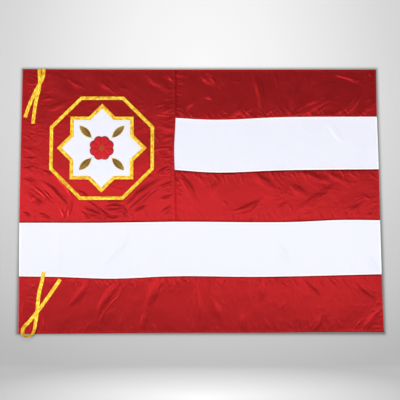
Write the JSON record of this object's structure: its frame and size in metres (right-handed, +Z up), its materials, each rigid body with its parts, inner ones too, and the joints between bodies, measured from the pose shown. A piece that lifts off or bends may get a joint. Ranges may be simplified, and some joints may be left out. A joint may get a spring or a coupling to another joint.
{
  "type": "church banner",
  "caption": "Rectangular banner of red and white satin lying face up, with a ribbon-edged emblem in its square corner panel and ribbon ties for a pole along the hoist.",
  "frame": {"origin": "middle of the whole outline, on the surface that the banner lies on", "axes": "+X from the hoist with the ties towards the fly, +Y towards the banner's top edge, +Z up out of its face"},
  "size_m": [1.2082, 0.903, 0.0113],
  "materials": {
    "red_satin": "glossy red satin weave with soft folds",
    "white_satin": "white satin weave, slightly cool",
    "gold_ribbon": "yellow-gold satin ribbon with fine ribs along it",
    "embroidery": "brown-gold satin stitch with a yellow outline"
  },
  "bodies": {
    "root": {"canton_panel": "red_satin", "top_red_stripe": "red_satin", "short_white_stripe": "white_satin", "middle_red_stripe": "red_satin", "long_white_stripe": "white_satin", "bottom_red_stripe": "red_satin", "emblem_frame_ribbon": "gold_ribbon", "star_patch": "white_satin", "star_edging_ribbon": "gold_ribbon", "rosette": "red_satin", "leaf_1": "embroidery", "leaf_2": "embroidery", "leaf_3": "embroidery", "leaf_4": "embroidery", "upper_tie": "gold_ribbon", "lower_tie": "gold_ribbon"}
  },
  "joints": []
}
